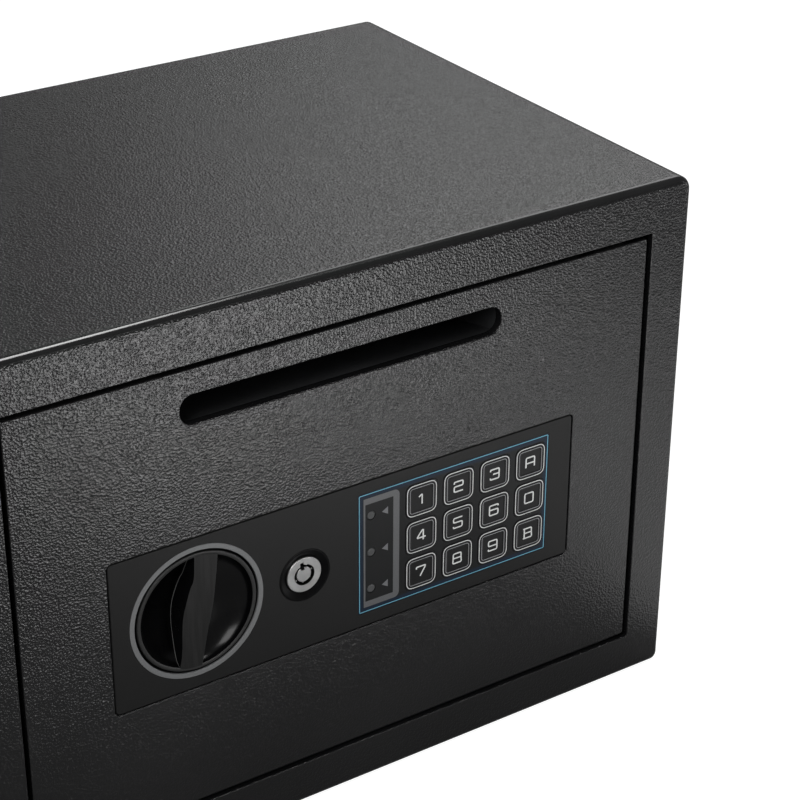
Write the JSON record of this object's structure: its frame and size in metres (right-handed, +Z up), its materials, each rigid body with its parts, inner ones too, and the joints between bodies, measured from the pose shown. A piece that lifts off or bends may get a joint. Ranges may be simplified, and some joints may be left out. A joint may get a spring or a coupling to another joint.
{
  "type": "drop safe",
  "caption": "Steel drop safe: a slotted, hinged door carries a dished turning knob, a tubular key lock and a film keypad on a control panel.",
  "frame": {"origin": "middle of the cabinet's underside", "axes": "+X to the right seen from the front, +Y from the door to the back plate, +Z up"},
  "size_m": [0.35, 0.25, 0.2525],
  "materials": {
    "textured_black_paint": "textured",
    "inner_paint": "satin",
    "panel_plastic": "satin",
    "gloss_black_plastic": "gloss",
    "grey_ring": "satin",
    "bright_steel": "polished",
    "zinc_steel": "zinc plated",
    "brass": "satin",
    "overlay_film": "satin",
    "key_film": "satin",
    "led_lens": "smooth",
    "circuit_board": "satin",
    "coil_tape": "taped winding",
    "tray_plastic": "satin",
    "cell_wrap": "printed wrap",
    "mat_felt": "felt",
    "reset_red": "smooth",
    "lead_red": "smooth"
  },
  "bodies": {
    "cabinet": {"cabinet_shell": "textured_black_paint", "back_plate": "textured_black_paint", "front_frame": "textured_black_paint", "door_stop_frame": "inner_paint", "floor_mat": "mat_felt", "hinge_lug_top": "inner_paint", "hinge_lug_bottom": "inner_paint"},
    "door": {"door_plate": "textured_black_paint", "hinge_block_top": "inner_paint", "hinge_block_bottom": "inner_paint", "hinge_rod": "zinc_steel", "slot_chute": "inner_paint", "chute_hood": "inner_paint", "backing_pan": "inner_paint", "control_panel": "panel_plastic", "knob_ring": "grey_ring", "lock_bezel": "gloss_black_plastic", "lock_housing": "bright_steel", "lock_nut": "zinc_steel", "spindle_bush": "brass", "keypad_overlay": "overlay_film", "status_lenses": "led_lens", "keypad_board": "circuit_board", "bolt_guide": "inner_paint", "carriage_stud_bottom": "zinc_steel", "carriage_stud_top": "zinc_steel", "solenoid_frame": "zinc_steel", "solenoid_coil": "coil_tape", "solenoid_spring": "zinc_steel", "mechanism_cover": "inner_paint", "cover_screw_left": "zinc_steel", "cover_screw_right": "zinc_steel", "battery_tray": "tray_plastic", "battery_pack": "cell_wrap", "reset_switch": "tray_plastic", "wire_harness": "lead_red"},
    "knob": {"knob_dial": "gloss_black_plastic", "knob_spindle": "zinc_steel", "crank_lever": "zinc_steel"},
    "bolt_carriage": {"bolt_carriage": "zinc_steel", "locking_bolt_bottom": "bright_steel", "locking_bolt_top": "bright_steel"},
    "lock_plug": {"lock_plug": "bright_steel", "lock_cam": "zinc_steel"},
    "plunger": {"solenoid_plunger": "bright_steel", "lift_bar": "zinc_steel"},
    "battery_hatch": {"battery_hatch": "tray_plastic"},
    "reset_button": {"reset_button": "reset_red"},
    "key_0": {"key_0": "key_film"},
    "key_1": {"key_1": "key_film"},
    "key_2": {"key_2": "key_film"},
    "key_3": {"key_3": "key_film"},
    "key_4": {"key_4": "key_film"},
    "key_5": {"key_5": "key_film"},
    "key_6": {"key_6": "key_film"},
    "key_7": {"key_7": "key_film"},
    "key_8": {"key_8": "key_film"},
    "key_9": {"key_9": "key_film"},
    "key_a": {"key_a": "key_film"},
    "key_b": {"key_b": "key_film"}
  },
  "joints": [
    {"name": "door_hinge", "type": "hinge", "parent": "cabinet", "child": "door", "pos_m": [0.1343, -0.1168, 0.125], "axis": [0, 0, 1], "range_deg": [0, 110]},
    {"name": "knob_turn", "type": "hinge", "parent": "door", "child": "knob", "pos_m": [-0.0743, -0.1241, 0.1168], "axis": [0, 1, 0], "range_deg": [-90, 0]},
    {"name": "bolt_slide", "type": "slide", "parent": "door", "child": "bolt_carriage", "axis": [-1, 0, 0], "range_m": [0, 0.016]},
    {"name": "lock_turn", "type": "hinge", "parent": "door", "child": "lock_plug", "pos_m": [-0.0233, -0.1238, 0.1165], "axis": [0, 1, 0], "range_deg": [0, 90]},
    {"name": "plunger_slide", "type": "slide", "parent": "door", "child": "plunger", "axis": [0, 0, 1], "range_m": [0, 0.005], "deforming": ["solenoid_spring"]},
    {"name": "battery_hatch_lift", "type": "slide", "parent": "door", "child": "battery_hatch", "axis": [0, 1, 0], "range_m": [0, 0.03]},
    {"name": "reset_press", "type": "slide", "parent": "door", "child": "reset_button", "axis": [0, -1, 0], "range_m": [0, 0.0012], "stiffness_N_per_m": 800},
    {"name": "key_0_press", "type": "slide", "parent": "door", "child": "key_0", "axis": [0, 1, 0], "range_m": [0, 0.0005], "stiffness_N_per_m": 1500},
    {"name": "key_1_press", "type": "slide", "parent": "door", "child": "key_1", "axis": [0, 1, 0], "range_m": [0, 0.0005], "stiffness_N_per_m": 1500},
    {"name": "key_2_press", "type": "slide", "parent": "door", "child": "key_2", "axis": [0, 1, 0], "range_m": [0, 0.0005], "stiffness_N_per_m": 1500},
    {"name": "key_3_press", "type": "slide", "parent": "door", "child": "key_3", "axis": [0, 1, 0], "range_m": [0, 0.0005], "stiffness_N_per_m": 1500},
    {"name": "key_4_press", "type": "slide", "parent": "door", "child": "key_4", "axis": [0, 1, 0], "range_m": [0, 0.0005], "stiffness_N_per_m": 1500},
    {"name": "key_5_press", "type": "slide", "parent": "door", "child": "key_5", "axis": [0, 1, 0], "range_m": [0, 0.0005], "stiffness_N_per_m": 1500},
    {"name": "key_6_press", "type": "slide", "parent": "door", "child": "key_6", "axis": [0, 1, 0], "range_m": [0, 0.0005], "stiffness_N_per_m": 1500},
    {"name": "key_7_press", "type": "slide", "parent": "door", "child": "key_7", "axis": [0, 1, 0], "range_m": [0, 0.0005], "stiffness_N_per_m": 1500},
    {"name": "key_8_press", "type": "slide", "parent": "door", "child": "key_8", "axis": [0, 1, 0], "range_m": [0, 0.0005], "stiffness_N_per_m": 1500},
    {"name": "key_9_press", "type": "slide", "parent": "door", "child": "key_9", "axis": [0, 1, 0], "range_m": [0, 0.0005], "stiffness_N_per_m": 1500},
    {"name": "key_a_press", "type": "slide", "parent": "door", "child": "key_a", "axis": [0, 1, 0], "range_m": [0, 0.0005], "stiffness_N_per_m": 1500},
    {"name": "key_b_press", "type": "slide", "parent": "door", "child": "key_b", "axis": [0, 1, 0], "range_m": [0, 0.0005], "stiffness_N_per_m": 1500}
  ],
  "couplings": [
    {"joint": "knob_turn", "follows": "bolt_slide", "rad_per_m": -98.175},
    {"joint": "lock_turn", "follows": "plunger_slide", "rad_per_m": 314.16}
  ]
}
